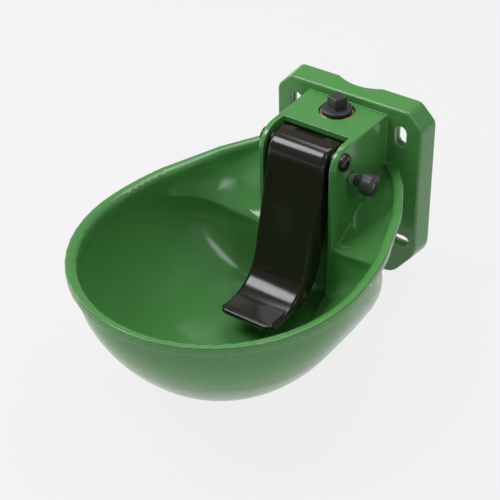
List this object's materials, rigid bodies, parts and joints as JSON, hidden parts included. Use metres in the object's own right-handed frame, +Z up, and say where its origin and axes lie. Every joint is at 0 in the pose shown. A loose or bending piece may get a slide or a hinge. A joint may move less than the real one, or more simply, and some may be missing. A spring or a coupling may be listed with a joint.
{
  "type": "livestock drinking bowl",
  "caption": "Egg-shaped green animal drinking bowl on a flat wall plate, with a black push tongue that opens a brass valve in its housing and a side knob that sets the flow.",
  "frame": {"origin": "centre of the mounting plate's back face, on the wall plane", "axes": "+X to the right of someone facing the wall, +Y into the wall, +Z up; the bowl stands out towards -Y"},
  "size_m": [0.2524, 0.3438, 0.1862],
  "materials": {
    "green_plastic": "gloss, lightly grained",
    "black_plastic": "gloss",
    "dark_plastic": "satin",
    "brass": "machined",
    "stainless": "machined",
    "zinc_plate": "zinc plated",
    "black_steel": "blackened",
    "rubber": "matte",
    "white_plastic": "satin"
  },
  "bodies": {
    "bowl": {"bowl_body": "green_plastic", "valve_tee": "brass", "blanking_plug": "dark_plastic", "plug_gasket": "rubber", "nozzle_body": "brass", "nozzle_gasket": "rubber", "valve_seat": "white_plastic", "gland_screw": "brass", "gland_ring": "rubber", "pivot_bolt": "black_steel", "pivot_nut": "black_steel", "pivot_sleeve": "stainless", "regulator_insert": "brass", "regulator_lock_nut": "zinc_plate", "spindle_ring": "rubber", "return_spring": "stainless"},
    "tongue": {"tongue": "black_plastic"},
    "plunger": {"plunger": "stainless", "valve_seal": "rubber", "spring_clip": "stainless"},
    "regulator_spindle": {"regulator_spindle": "stainless"},
    "regulator_knob": {"regulator_knob": "dark_plastic"}
  },
  "joints": [
    {"name": "tongue_swing", "type": "hinge", "parent": "bowl", "child": "tongue", "pos_m": [0, -0.0915, 0.0685], "axis": [1, 0, 0], "range_deg": [0, 12], "stiffness_Nm_per_rad": 2, "springref_deg": -5.73},
    {"name": "plunger_slide", "type": "slide", "parent": "bowl", "child": "plunger", "axis": [0, 1, 0], "range_m": [0, 0.0048], "deforming": ["return_spring"]},
    {"name": "regulator_slide", "type": "slide", "parent": "bowl", "child": "regulator_spindle", "axis": [1, 0, 0], "range_m": [0, 0.004]},
    {"name": "regulator_turn", "type": "hinge", "parent": "regulator_spindle", "child": "regulator_knob", "pos_m": [0.055, -0.0795, 0.046], "axis": [1, 0, 0], "range_deg": [0, 1440]}
  ],
  "couplings": [
    {"joint": "plunger_slide", "follows": "tongue_swing", "m_per_rad": 0.0225},
    {"joint": "regulator_turn", "follows": "regulator_slide", "rad_per_m": 6283.2}
  ]
}
